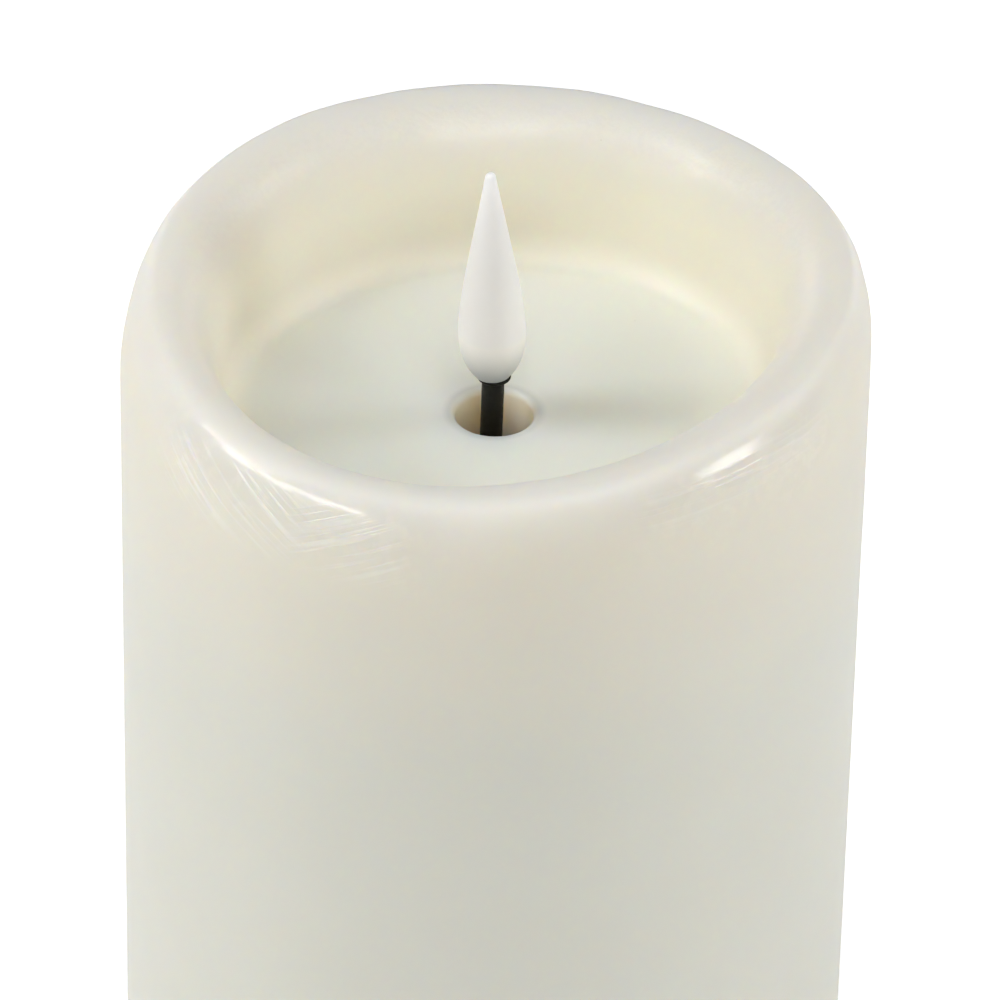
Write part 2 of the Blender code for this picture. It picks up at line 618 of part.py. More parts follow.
def riser_hood():
    hood = box("riser_hood", (-HOOD_FLANGE_X, BAY_Y - HOOD_HALF_Y, HOOD_BOTTOM),
               (HOOD_FLANGE_X, BAY_Y + HOOD_HALF_Y, HOOD_BOTTOM + HOOD_WALL), "white_plastic")
    join(hood, box("hood_body", (-HOOD_HALF_X, BAY_Y - HOOD_HALF_Y, HOOD_BOTTOM + 0.5),
                   (HOOD_HALF_X, BAY_Y + HOOD_HALF_Y, HOOD_TOP)))
    inner_r, outer_r = RISER_R + 0.4, RISER_R + 1.9
    collar = [(outer_r, COLLAR_TOP), (outer_r, HOOD_TOP - 1.2), (inner_r, HOOD_TOP - 1.2),
              (inner_r, COLLAR_TOP)]
    cut(hood,
        box("hood_space", (-HOOD_HALF_X + HOOD_WALL, BAY_Y - HOOD_HALF_Y + HOOD_WALL, 50),
            (HOOD_HALF_X - HOOD_WALL, BAY_Y + HOOD_HALF_Y - HOOD_WALL, HOOD_TOP - HOOD_WALL)))
    join(hood, turned("hood_collar", collar, loop=True))
    cut(hood,
        box("lead_notch", (-4.6, -14, 50), (4.6, -6, 72.5)),
        rod("lead_hole", 5.0, (0, 0, 75), (0, 0, 85)))
    spots = [(side * CORNER_BOSS[0], BAY_Y + side * CORNER_BOSS[1]) for side in (-1, 1)]
    for number, spot in enumerate(spots, 1):
        cut(hood, rod(f"flange_hole_{number}", CLEARANCE_R, (*spot, 60), (*spot, 66)))
    screws("hood_screw", spots, HOOD_BOTTOM + HOOD_WALL + GAP, (2.6, 1.5, 1.0, 11.0))


def riser_tube():
    inner_r, hole_r, flange_r = RISER_R - RISER_WALL, 4.1, 14.0
    profile = [(flange_r, RISER_TOP), (flange_r, RISER_TOP - 1.5), (RISER_R, RISER_TOP - 4.4),
               (RISER_R, HOOD_TOP + GAP), (inner_r, HOOD_TOP + GAP), (inner_r, RISER_TOP - 3.0),
               (hole_r, RISER_TOP - 1.5), (hole_r, RISER_TOP)]
    turned("riser_tube", profile, "white_plastic", loop=True)


# --------------------------------------------------------- wick and flame

def wick_x(z):
    """Where the leaning wick's axis is at a height."""
    return WICK_X + (z - RECESS_Z) * tan(WICK_LEAN)


def wick():
    for name, profile, finish in (
        ("wick_bushing", [(3.1, 124.2), (3.1, 118.4), (5.0, 118.4), (5.0, 116.9), (1.9, 116.9),
                          (1.9, 124.2)], "dark_plastic"),
        ("wick_stem", [(WICK_R, WICK_TOP), (WICK_R, WICK_BOTTOM), (WICK_BORE, WICK_BOTTOM),
                       (WICK_BORE, WICK_TOP)], "black"),
    ):
        local = [(r, z - RECESS_Z) for r, z in profile]
        piece = turned(name, local, finish, (WICK_X, 0, RECESS_Z), sides=20, loop=True)
        piece.rotation_euler.y = WICK_LEAN

    top, bottom = FLAME_BOTTOM - 0.3, WICK_TOP + GAP
    profile = [(CUP_R - 0.15, top), (CUP_R, top - 0.15), (CUP_R - 0.05, top - 0.35), (1.75, bottom),
               (CUP_BORE, bottom), (CUP_BORE, top)]
    turned("flame_cup", profile, "black", (CUP_X, 0, 0), sides=24, loop=True)


def flame():
    tip_r, foot_r, mouth_r = 0.75, 2.5, 2.0
    tip_side, widest = (tip_r, FLAME_TIP - tip_r), (FLAME_R, FLAME_WIDEST_Z)
    foot, mouth = (foot_r, FLAME_BOTTOM + 0.15), (mouth_r, FLAME_BOTTOM)
    outer = [(0, FLAME_TIP), *arc((0, tip_side[1]), (tip_r, tip_r), 60, 0, 2)]
    outer += bezier((tip_side, widest), ((2.235, 160.6), (FLAME_R, 150.5)), 9)
    outer += bezier((widest, foot), ((FLAME_R, 142.1), (3.75, 139.8)), 5)
    outer += [(foot_r - 0.15, FLAME_BOTTOM)]
    inner_r = FLAME_R - FLAME_WALL
    hollow, hollow_tip = (inner_r, FLAME_WIDEST_Z), (0.35, 166.5)
    inner = [mouth]
    inner += bezier((mouth, hollow), ((2.9, 140.2), (inner_r, 142.1)), 3)
    inner += bezier((hollow, hollow_tip), ((inner_r, 150.0), (1.7, 159.0)), 5)
    inner += [(0, hollow_tip[1] + 0.5)]
    local = [(r, z - FLAME_BOTTOM) for r, z in outer + inner]
    piece = turned("flame", local, "frosted", (FLAME_X, 0, FLAME_BOTTOM), sides=24)
    piece.rotation_euler.y = FLAME_LEAN

    radius, base = 1.5, FLAME_BOTTOM + 0.05      # a 3 mm diode
    dome_z, collar_r, collar_z = base + 2.6, radius + 0.2, base + 0.6
    profile = [(0, dome_z + radius), *arc((0, dome_z), (radius, radius), 60, 0, 3), (radius, collar_z),
               (collar_r, collar_z), (collar_r, base), (0, base)]
    turned("flame_led", profile, "lens", (-0.35, 0, 0), sides=20)


clear_scene()
PIECES = new_collection("flameless_led_candle")
CUTTERS = new_collection("cutters")
DOOR_HINGE = empty("door_hinge", (0, HINGE_Y, HINGE_Z))

wax_shell()
base_ring()
base_plate()
feet()
base_screws()
battery_box()
battery_cells()
contacts(DOOR_HINGE)
battery_door(DOOR_HINGE)
bay_screws()
slide_switch()
circuit_board()
leads()
riser_hood()
riser_tube()
wick()
flame()
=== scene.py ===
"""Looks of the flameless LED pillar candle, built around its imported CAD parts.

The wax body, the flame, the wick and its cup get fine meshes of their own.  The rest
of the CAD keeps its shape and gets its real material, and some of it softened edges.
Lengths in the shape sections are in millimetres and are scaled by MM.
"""
import json
from math import cos, pi, radians, sin

import bmesh
import bpy
import numpy as np
from mathutils import Matrix, Quaternion, Vector, noise


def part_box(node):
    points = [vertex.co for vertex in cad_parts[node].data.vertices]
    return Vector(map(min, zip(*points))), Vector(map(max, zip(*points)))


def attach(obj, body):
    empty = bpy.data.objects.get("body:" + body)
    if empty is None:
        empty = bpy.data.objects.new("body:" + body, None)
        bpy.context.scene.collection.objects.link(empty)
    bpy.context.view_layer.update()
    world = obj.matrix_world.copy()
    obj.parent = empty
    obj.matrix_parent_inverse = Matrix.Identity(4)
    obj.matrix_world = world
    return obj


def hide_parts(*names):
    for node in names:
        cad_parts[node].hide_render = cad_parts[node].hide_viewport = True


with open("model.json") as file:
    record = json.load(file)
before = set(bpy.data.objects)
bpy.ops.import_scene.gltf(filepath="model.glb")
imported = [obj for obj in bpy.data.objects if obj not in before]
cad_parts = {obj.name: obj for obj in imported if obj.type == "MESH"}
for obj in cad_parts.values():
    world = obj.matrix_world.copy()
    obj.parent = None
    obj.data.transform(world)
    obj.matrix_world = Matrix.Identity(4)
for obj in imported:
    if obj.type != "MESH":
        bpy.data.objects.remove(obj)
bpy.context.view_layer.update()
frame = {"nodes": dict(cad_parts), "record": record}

MM = 0.001


def box_mm(node):
    """A CAD node's lowest and highest corners in millimetres."""
    low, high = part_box(node)
    return low / MM, high / MM


WAX_LOW, WAX_HIGH = box_mm("wax_shell")
FLAME_LOW, _ = box_mm("flame")
CUP_LOW, CUP_HIGH = box_mm("flame_cup")
CELL_LOW, CELL_HIGH = box_mm("battery_cell_1")

# Wax body
CANDLE_R = WAX_HIGH.x
WAX_BOTTOM = WAX_LOW.z
FLOOR_Z = 132.0                 # the burnt-down floor round the wick
INNER_DROP = 15.2               # height of the rim's inner rounding
FLOOR_FILLET = 4.0              # where the recess wall runs into its floor
HOLE_R, HOLE_LIP = 5.3, 1.0     # the wick's hole and the rounding of its edge
UNDERSIDE_Z = 123.3             # the roof of the cavity for the electronics
CAVITY_R, SHOULDER_Z, ROOF_SLOPE = 44.0, 112.0, 9.5
BOTTOM_ROUND = 1.5
WAX_SIDES = 360

# The rim was shaped by heat and by hand, so its lines wave round the candle.  Each is a
# mean, then the size and direction (degrees from +X) of a once-round and a twice-round wave.
RIM_RADIUS = (46.7, (2.4, 70), (0.28, 90))
RIM_HEIGHT = (152.0, (2.45, 47), (1.35, -27))
INNER_WIDTH = (9.75, (1.2, 60), (1.35, -59))
OUTER_DROP = (12.4, (2.4, -130), (0.9, -71))
INNER_POWER, OUTER_POWER = 2.2, 1.94

# Unevenness of the wax: the wavelength and height of each layer
RIM_WAVES = ((9.0, 0.16), (3.2, 0.05))
WALL_WAVES = ((34.0, 0.10),)
FLOOR_WAVES = ((16.0, 0.22), (5.0, 0.04))

# Flame, leaning a little to the left on its foot
FLAME_FOOT = Vector((-0.37, 0, FLAME_LOW.z))
FLAME_LEAN = radians(-1.4)
FLAME_R, FLAME_WALL, FLAME_WIDEST = 4.58, 0.8, 144.9
FLAME_TIP, TIP_ROUND = 170.35, 0.75
FLAME_FOOT_R, FLAME_MOUTH_R = 2.5, 2.0
HOLLOW_TOP, HOLLOW_TOP_R = 166.5, 0.35

# Wick, leaning to the right, and the cup on top of it
WICK_R, WICK_BORE, WICK_EDGE = 1.55, 1.0, 0.12
WICK_FOOT = Vector((-0.33, 0, FLOOR_Z))
WICK_LEAN = radians(0.96)
WICK_LOW_Z, WICK_HIGH_Z = 112.0, 137.1
WICK_SQUEEZE, WICK_LUMP = 0.03, 1.4     # share of the radius, and wavelength, of its unevenness
CUP_BORE, CUP_FOOT_R, CUP_EDGE = 1.35, 1.75, 0.15

# Camera and frame of the picture
CAMERA_AT = Vector((0, -0.9081, 0.7617))
CAMERA_AIM = Vector((0.001, 0, 0.1173))
CAMERA_ROLL = radians(1.18)
CAMERA_LENS = 294.3

# Lamps: azimuth (0 is the camera's side, 90 is +X), elevation, size in metres and power
SOFTBOXES = (
    ("key_left", -88, 44, (0.30, 0.55), 3.8),
    ("key_right", 100, 38, (0.28, 0.50), 1.8),
    ("strip_left", -64, 28, (0.74, 0.13), 2.15),
    ("low_right", 66, 20, (0.28, 0.30), 2.1),
    ("top_front", 10, 62, (0.5, 0.5), 3.7),
    ("back_left", -150, 8, (0.4, 0.4), 1.2),
    ("back_right", 145, 8, (0.4, 0.4), 1.3),
    ("under", 0, -90, (0.5, 0.5), 1.0),
)
LAMP_AIM = Vector((0, 0, 0.12))
FLOOR_HALF = 4.0                # half the width of the floor, in metres

# Softened edges on the CAD nodes, and how near vertices are joined before it
BEVELS = {"base_plate": 0.25, "battery_door": 0.2, "switch_knob": 0.12, "battery_box": 0.25,
          "base_ring": 0.25}
WELD_GAP = 0.005


# ---------------------------------------------------------------- mesh helpers

def wave(line, angle):
    """The value at an angle, in radians, of a line that waves round the candle."""
    mean, (once, once_at), (twice, twice_at) = line
    turn, two_turns = angle - radians(once_at), 2 * (angle - radians(twice_at))
    return mean + once * np.cos(turn) + twice * np.cos(two_turns)


def rounding(count, power):
    """Shares (across, height) along a quarter of a superellipse, from its top to its side."""
    turn = np.linspace(0, pi / 2, count)
    return np.sin(turn) ** (2 / power), np.cos(turn) ** (2 / power)


def smooth_step(value, low, high):
    """0 below low, 1 above high and a soft ramp between; falls instead when low is above high."""
    share = np.clip((value - low) / (high - low), 0, 1)
    return share * share * (3 - 2 * share)


def bezier(ends, handles, count):
    """Points of one cubic after its first end."""
    share = np.linspace(0, 1, count + 1)[1:, None]
    a, b, c, d = (np.array(point, float) for point in (ends[0], *handles, ends[1]))
    rest = 1 - share
    points = a * rest ** 3 + 3 * b * share * rest ** 2 + 3 * c * share ** 2 * rest + d * share ** 3
    return [tuple(point) for point in points]


def arc(centre, radius, start, end, count):
    """Points of an arc between two angles in degrees, both ends included."""
    return [(centre[0] + radius * cos(radians(turn)), centre[1] + radius * sin(radians(turn)))
            for turn in np.linspace(start, end, count)]


def finish_mesh(mesh):
    """Turns all faces outwards and shades them smooth."""
    form = bmesh.new()
    form.from_mesh(mesh)
    bmesh.ops.recalc_face_normals(form, faces=form.faces)
    form.to_mesh(mesh)
    form.free()
    mesh.shade_smooth()
    return mesh


def lathe(name, profile, sides, foot, lean=0.0, closed=False):
    """A turned mesh from (radius, height) points above its foot, leaning about +Y."""
    form = bmesh.new()
    turns = [2 * pi * step / sides for step in range(sides)]
    rings = []
    for radius, height in profile:
        if radius < 1e-6:
            rings.append([form.verts.new((0, 0, height))] * sides)
        else:
            ring = [(radius * cos(turn), radius * sin(turn), height) for turn in turns]
            rings.append([form.verts.new(point) for point in ring])
    pairs = list(zip(rings, rings[1:])) + ([(rings[-1], rings[0])] if closed else [])
    for upper, lower in pairs:
        for step in range(sides):
            ahead = (step + 1) % sides
            corners = [upper[step], upper[ahead], lower[ahead], lower[step]]
            form.faces.new(list(dict.fromkeys(corners)))
    place = Matrix.Scale(MM, 4) @ Matrix.Translation(foot) @ Matrix.Rotation(lean, 4, "Y")
    form.transform(place)
    mesh = bpy.data.meshes.new(name)
    form.to_mesh(mesh)
    form.free()
    return finish_mesh(mesh)


def add_piece(name, mesh, body, slot, material, *nodes):
    """Adds a fine piece that rides on a body and stands for some CAD nodes."""
    mesh.materials.append(material)
    piece = bpy.data.objects.new(name, mesh)
    bpy.context.scene.collection.objects.link(piece)
    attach(piece, body)
    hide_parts(*nodes)


# ---------------------------------------------------------------- the wax body

class WaxSection:
    """The closed outline of the wax at every angle at once, row by row, with what each row is."""

    def __init__(self, angle):
        self.angle = angle
        self.radius, self.height = [], []
        self.marks = {"crown": [], "outer": [], "inner": [], "bore": []}

    def row(self, radius, height, **marks):
        """Adds a row of points, and how far it belongs to each mark."""
        self.radius.append(radius + 0 * self.angle)
        self.height.append(height + 0 * self.angle)
        for name, values in self.marks.items():
            values.append(marks.get(name, 0.0) + 0 * self.angle)


def wax_section(angle):
    """The outline, from the outer bottom corner up over the rim and back under the floor."""
    section = WaxSection(angle)
    top_r, top_z = wave(RIM_RADIUS, angle), wave(RIM_HEIGHT, angle)
    width, drop = wave(INNER_WIDTH, angle), wave(OUTER_DROP, angle)
    wall_r = top_r - width

    for turn in np.linspace(-pi / 2, 0, 6):
        section.row(CANDLE_R - BOTTOM_ROUND + BOTTOM_ROUND * cos(turn),
                    WAX_BOTTOM + BOTTOM_ROUND * (1 + sin(turn)))
    foot_z, shoulder_z = WAX_BOTTOM + BOTTOM_ROUND, top_z - drop
    for share in np.linspace(0, 1, 56)[1:-1]:
        height = foot_z + (shoulder_z - foot_z) * share
        section.row(CANDLE_R, height, outer=smooth_step(shoulder_z - height, 5.0, 0.0))
    for across, height in list(zip(*rounding(40, OUTER_POWER)))[::-1]:
        section.row(top_r + (CANDLE_R - top_r) * across, shoulder_z + drop * height,
                    crown=height, outer=1.0)
    bottom_z = np.maximum(top_z - INNER_DROP, FLOOR_Z + FLOOR_FILLET)
    for across, height in list(zip(*rounding(48, INNER_POWER)))[1:]:
        section.row(top_r - width * across, bottom_z + (top_z - bottom_z) * height,
                    crown=height, inner=1.0)
    for turn in np.linspace(0, pi / 2, 14)[1:]:
        section.row(wall_r - FLOOR_FILLET * (1 - cos(turn)),
                    FLOOR_Z + (bottom_z - FLOOR_Z) * (1 - sin(turn)), inner=1.0)
    lip_r = HOLE_R + HOLE_LIP
    for share in np.linspace(0, 1, 30)[1:-1]:
        section.row((wall_r - FLOOR_FILLET) * (1 - share) + lip_r * share, FLOOR_Z, inner=1.0)
    for turn in np.linspace(0, pi / 2, 9):
        section.row(lip_r - HOLE_LIP * sin(turn), FLOOR_Z - HOLE_LIP * (1 - cos(turn)),
                    bore=sin(turn) ** 4)
    for share in np.linspace(0, 1, 7)[1:]:
        section.row(HOLE_R, FLOOR_Z - HOLE_LIP + (UNDERSIDE_Z - FLOOR_Z + HOLE_LIP) * share, bore=1.0)
    roof = ((20, UNDERSIDE_Z), (CAVITY_R - ROOF_SLOPE, UNDERSIDE_Z), (CAVITY_R, SHOULDER_Z))
    for radius, height in roof:
        section.row(radius, height)
    for share in np.linspace(0, 1, 12)[1:]:
        section.row(CAVITY_R, SHOULDER_Z + (WAX_BOTTOM - SHOULDER_Z) * share)
    section.row((CAVITY_R + CANDLE_R - BOTTOM_ROUND) / 2, WAX_BOTTOM)
    return section


def unevenness(points, layers, seed):
    """Smooth noise between -1 and 1 times each layer's height, at points in millimetres."""
    total = np.zeros(len(points))
    for step, (length, height) in enumerate(layers):
        shift = Vector((seed * 7.3, step * 11.1, seed * 3.7))
        total += height * np.array([noise.noise(Vector(point) / length + shift) for point in points])
    return total


def wax_body(material):
    """The wax: one closed tube of rings, with hand-made unevenness pushed into its surface."""
    angle = radians(90) + np.linspace(0, 2 * pi, WAX_SIDES, endpoint=False)
    section = wax_section(angle)
    radius, height = np.array(section.radius), np.array(section.height)
    marks = {name: np.array(values) for name, values in section.marks.items()}

    def ring_points():
        return np.stack([radius * np.cos(angle), radius * np.sin(angle), height], axis=-1)

    flat = ring_points().reshape(-1, 3)
    rim = np.clip(marks["outer"] + marks["inner"], 0, 1) * smooth_step(height, FLOOR_Z + 1, FLOOR_Z + 9)
    push = rim * unevenness(flat, RIM_WAVES, 1).reshape(radius.shape)
    outside = (radius > CANDLE_R - BOTTOM_ROUND) & (height > WAX_BOTTOM + BOTTOM_ROUND)
    dent = np.abs(unevenness(flat, WALL_WAVES, 2).reshape(radius.shape))
    push -= np.where(outside, dent * smooth_step(height, WAX_BOTTOM + 2, WAX_BOTTOM + 20), 0)
    floor = marks["inner"] * (1 - smooth_step(height, FLOOR_Z + 1, FLOOR_Z + 9))
    lip = smooth_step(radius, HOLE_R + 2, HOLE_R + 9)
    push += floor * lip * unevenness(flat, FLOOR_WAVES, 3).reshape(radius.shape)

    along_r, along_z = np.gradient(radius, axis=0), np.gradient(height, axis=0)
    length = np.hypot(along_r, along_z) + 1e-9
    travel = np.cumsum(length, axis=0)
    radius = np.minimum(radius + push * along_z / length, CANDLE_R)
    height = height - push * along_r / length

    count, sides = radius.shape
    here = np.arange(count * sides).reshape(count, sides)
    there = np.roll(here, -1, axis=0)
    quads = np.stack([here, np.roll(here, -1, axis=1), np.roll(there, -1, axis=1), there], axis=-1)
    mesh = bpy.data.meshes.new("wax_body")
    points = (ring_points() * MM).reshape(-1, 3)
    mesh.from_pydata(points.tolist(), [], quads.reshape(-1, 4).tolist())
    for name, values in marks.items():
        layer = mesh.attributes.new(name, "FLOAT", "POINT")
        layer.data.foreach_set("value", values.ravel().astype(np.float32))

    # A wrap of the surface in metres: round the candle from the back, and out from the rim's top
    top_row = int(np.argmax(marks["crown"][:, 0]))
    wrap = mesh.uv_layers.new(name="wrap")
    outward = (travel[top_row] - travel) * MM
    next_row = np.roll(outward, -1, axis=0)
    corners = [outward, np.roll(outward, -1, axis=1), np.roll(next_row, -1, axis=1), next_row]
    across = np.stack(corners, axis=-1)
    step = 2 * pi * CANDLE_R * MM / sides
    around = np.arange(sides)[None, :, None] * step + np.array([0, step, step, 0])[None, None, :]
    around = np.broadcast_to(around, across.shape)
    wrap.data.foreach_set("uv", np.stack([around, across], axis=-1).ravel().astype(np.float32))
    add_piece("wax_body", finish_mesh(mesh), "candle", "wax", material, "wax_shell")


# ---------------------------------------------------------------- flame and wick

def flame(material):
    """The frosted diffuser: a hollow teardrop, open at its foot."""
    base, inner_r = FLAME_FOOT.z, FLAME_R - FLAME_WALL
    shoulder, widest = (TIP_ROUND, FLAME_TIP - TIP_ROUND), (FLAME_R, FLAME_WIDEST)
    foot, mouth = (FLAME_FOOT_R, base + 0.15), (FLAME_MOUTH_R, base)
    inner_widest, hollow_top = (inner_r, FLAME_WIDEST), (HOLLOW_TOP_R, HOLLOW_TOP)

    profile = [(0, FLAME_TIP)] + arc((0, FLAME_TIP - TIP_ROUND), TIP_ROUND, 90, 0, 8)[1:]
    profile += bezier((shoulder, widest), ((2.235, 160.6), (FLAME_R, 150.5)), 60)
    profile += bezier((widest, foot), ((FLAME_R, 142.1), (3.75, 139.8)), 24)
    profile += [(2.46, base + 0.04), (2.35, base), (2.2, base), mouth]
    profile += bezier((mouth, inner_widest), ((2.9, 140.2), (inner_r, 142.1)), 14)
    profile += bezier((inner_widest, hollow_top), ((inner_r, 150.0), (1.7, 159.0)), 24)
    profile += [(0, HOLLOW_TOP + 0.5)]
    profile = [(radius, height - base) for radius, height in profile]
    mesh = lathe("flame_diffuser", profile, 96, FLAME_FOOT, FLAME_LEAN)
    add_piece("flame_diffuser", mesh, "candle", "flame_diffuser", material, "flame")


def wick(material):
    """The black sleeve that holds up the flame, slightly uneven like a real one."""
    profile = arc((WICK_R - WICK_EDGE, WICK_HIGH_Z - WICK_EDGE), WICK_EDGE, 90, 0, 4)
    profile += [(WICK_R, height) for height in np.linspace(WICK_HIGH_Z - 0.5, WICK_LOW_Z + 0.3, 60)]
    profile += [(WICK_R - 0.1, WICK_LOW_Z), (WICK_BORE, WICK_LOW_Z), (WICK_BORE, WICK_HIGH_Z)]
    profile = [(radius, height - FLOOR_Z) for radius, height in profile]
    mesh = lathe("wick_sleeve", profile, 48, WICK_FOOT, WICK_LEAN, closed=True)
    for vertex in mesh.vertices:
        at = vertex.co / MM
        axis = Vector((WICK_FOOT.x + (at.z - FLOOR_Z) * WICK_LEAN, 0, at.z))
        spoke = at - axis
        if spoke.length > (WICK_R + WICK_BORE) / 2:
            squeeze = WICK_SQUEEZE * (1 + noise.noise(at / WICK_LUMP)) / 2
            vertex.co = (axis + spoke * (1 - squeeze)) * MM
    add_piece("wick_sleeve", mesh, "candle", "wick_sleeve", material, "wick_stem")


def cup(material):
    """The little cup between the wick and the flame, off centre under the flame's foot."""
    radius, low, high = (CUP_HIGH.x - CUP_LOW.x) / 2, CUP_LOW.z, CUP_HIGH.z
    profile = arc((radius - CUP_EDGE, high - CUP_EDGE), CUP_EDGE, 90, 0, 5)
    ends = ((radius, high - CUP_EDGE), (CUP_FOOT_R, low))
    profile += bezier(ends, ((radius, high - 0.4), (2.1, low)), 8)
    profile += [(CUP_BORE, low), (CUP_BORE, high)]
    centre = Vector(((CUP_HIGH.x + CUP_LOW.x) / 2, 0, 0))
    mesh = lathe("flame_cup_rim", profile, 64, centre, closed=True)
    add_piece("flame_cup_rim", mesh, "candle", "wick_sleeve", material, "flame_cup")


# ---------------------------------------------------------------- materials

class Painter:
    """A material with a Principled shader, and short ways to add nodes to it."""

    def __init__(self, name):
        self.material = bpy.data.materials.new(name)
        self.material.use_nodes = True
        self.tree = self.material.node_tree
        self.shader = self.tree.nodes["Principled BSDF"]
        self.at = self.node("TexCoord", {}).outputs["Object"]

    def feed(self, socket, value):
        """Links another node's output to a socket, or sets a plain value on it."""
        if isinstance(value, bpy.types.NodeSocket):
            self.tree.links.new(value, socket)
        else:
            socket.default_value = value

    def set(self, name, value):
        self.feed(self.shader.inputs[name], value)

    def node(self, kind, inputs, **settings):
        made = self.tree.nodes.new("ShaderNode" + kind)
        for name, value in settings.items():
            setattr(made, name, value)
        for name, value in inputs.items():
            self.feed(made.inputs[name], value)
        return made

    def math(self, operation, first, second=0.0, third=0.0):
        inputs = {0: first, 1: second, 2: third}
        return self.node("Math", inputs, operation=operation).outputs[0]

    def product(self, *values):
        total = values[0]
        for value in values[1:]:
            total = self.math("MULTIPLY", total, value)
        return total

    def ramp(self, value, low, high, to_low=0.0, to_high=1.0):
        """A soft ramp between two values."""
        inputs = {"Value": value, "From Min": low, "From Max": high, "To Min": to_low, "To Max": to_high}
        return self.node("MapRange", inputs, interpolation_type="SMOOTHSTEP").outputs["Result"]

    def noise(self, length, detail=3.0, at=None, roughness=0.5):
        """Noise with a wavelength in millimetres."""
        inputs = {"Vector": at or self.at, "Scale": 1 / (length * MM), "Detail": detail,
                  "Roughness": roughness}
        return self.node("TexNoise", inputs).outputs["Fac"]

    def cells(self, length, feature="F1"):
        """Voronoi cells with a size in millimetres: their distance and colour."""
        inputs = {"Vector": self.at, "Scale": 1 / (length * MM)}
        made = self.node("TexVoronoi", inputs, feature=feature)
        return made.outputs["Distance"], made.outputs.get("Color")

    def stretched(self, at, size):
        """A place multiplied by a size along each axis."""
        return self.node("VectorMath", {0: at, 1: size}, operation="MULTIPLY").outputs[0]

    def part_of(self, at):
        """The three separate parts of a vector or colour."""
        return self.node("SeparateXYZ", {0: at}).outputs

    def mix(self, share, first, second):
        """The first colour where the share is 0, the second where it is 1."""
        made = self.node("Mix", {}, data_type="RGBA")
        colours = [(*value, 1) if isinstance(value, tuple) else value for value in (first, second)]
        for name, value in zip(("Factor_Float", "A_Color", "B_Color"), (share, *colours)):
            self.feed(next(item for item in made.inputs if item.identifier == name), value)
        return next(item for item in made.outputs if item.identifier == "Result_Color")

    def bump(self, height, distance, below=None):
        """Raises the surface by distance millimetres times height, on top of another bump."""
        inputs = {"Height": height, "Distance": distance * MM, "Strength": 1.0}
        if below:
            inputs["Normal"] = below
        return self.node("Bump", inputs).outputs["Normal"]


def tint(colour, share):
    """The colour made lighter or darker."""
    return tuple(min(1.0, channel * share) for channel in colour)


def mottled(paint, colour, length, amount):
    """The colour with lighter and darker clouds of a wavelength in millimetres."""
    return paint.mix(paint.noise(length), tint(colour, 1 - amount), tint(colour, 1 + amount))


